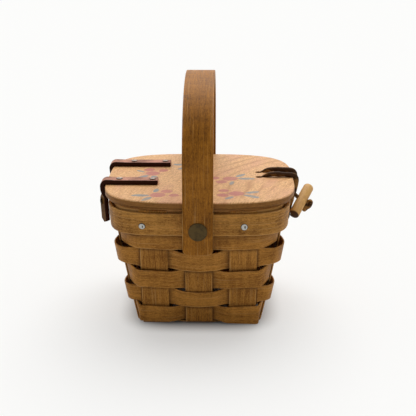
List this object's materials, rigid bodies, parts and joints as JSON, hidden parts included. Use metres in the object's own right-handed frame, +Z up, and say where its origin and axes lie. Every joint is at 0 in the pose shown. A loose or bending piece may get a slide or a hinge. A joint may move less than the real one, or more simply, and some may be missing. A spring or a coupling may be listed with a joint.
{
  "type": "picnic basket",
  "caption": "Small square woven-splint picnic basket with a board lid on leather hinge straps, a lace-and-peg latch and a riveted bent-wood swing handle.",
  "frame": {"origin": "centre of the underside, on the floor the basket stands on", "axes": "+Z up, front towards -Y, lid hinge straps on the -X side, latch on the +X side"},
  "size_m": [0.144, 0.1346, 0.1623],
  "materials": {
    "splint": "stained, satin",
    "band": "stained, satin",
    "lid": "clear satin over painted motifs",
    "handle": "stained, satin",
    "peg": "bare, smooth",
    "strap": "oiled",
    "lace": "oiled",
    "rivet": "darkened",
    "nail": "bright"
  },
  "bodies": {
    "basket": {"long_strip_left": "splint", "long_strip_middle": "splint", "long_strip_right": "splint", "cross_strip_front": "splint", "cross_strip_middle": "splint", "cross_strip_back": "splint", "weaver_row_1": "splint", "weaver_row_2": "splint", "weaver_row_3": "splint", "weaver_row_4": "splint", "weaver_row_5": "splint", "rim_band_outer": "band", "rim_band_inner": "band", "rim_nail_front_1": "nail", "rim_nail_front_2": "nail", "rim_nail_right_1": "nail", "rim_nail_right_2": "nail", "rim_nail_back_1": "nail", "rim_nail_back_2": "nail", "rim_nail_left_1": "nail", "rim_nail_left_2": "nail", "handle_rivet_front": "rivet", "handle_rivet_back": "rivet", "rivet_burr_front": "rivet", "rivet_burr_back": "rivet", "strap_tack_front": "nail", "strap_tack_back": "nail", "toggle_tether": "lace"},
    "lid": {"lid_board": "lid", "hinge_strap_front": "strap", "hinge_strap_back": "strap", "strap_nail_front_inner": "nail", "strap_nail_front_outer": "nail", "strap_nail_back_inner": "nail", "strap_nail_back_outer": "nail", "lace_strand_front": "lace", "lace_strand_back": "lace"},
    "loop": {"latch_loop": "lace"},
    "peg": {"toggle_peg": "peg"},
    "handle": {"handle": "handle"}
  },
  "joints": [
    {"name": "lid_hinge", "type": "hinge", "parent": "basket", "child": "lid", "pos_m": [-0.0642, 0, 0.085], "axis": [0, -1, 0], "range_deg": [0, 20], "deforming": ["hinge_strap_front", "hinge_strap_back", "latch_loop"]},
    {"name": "loop_lift", "type": "hinge", "parent": "lid", "child": "loop", "pos_m": [0.06455, 0.0045, 0.0894], "axis": [0, -1, 0], "range_deg": [0, 70]},
    {"name": "peg_turn", "type": "hinge", "parent": "basket", "child": "peg", "pos_m": [0.06943, 0.0045, 0.07284], "axis": [0.7431, 0, -0.6691], "range_deg": [-38, 52]},
    {"name": "handle_swing", "type": "hinge", "parent": "basket", "child": "handle", "pos_m": [0, 0, 0.074], "axis": [0, 1, 0], "range_deg": [-120, 120]}
  ]
}
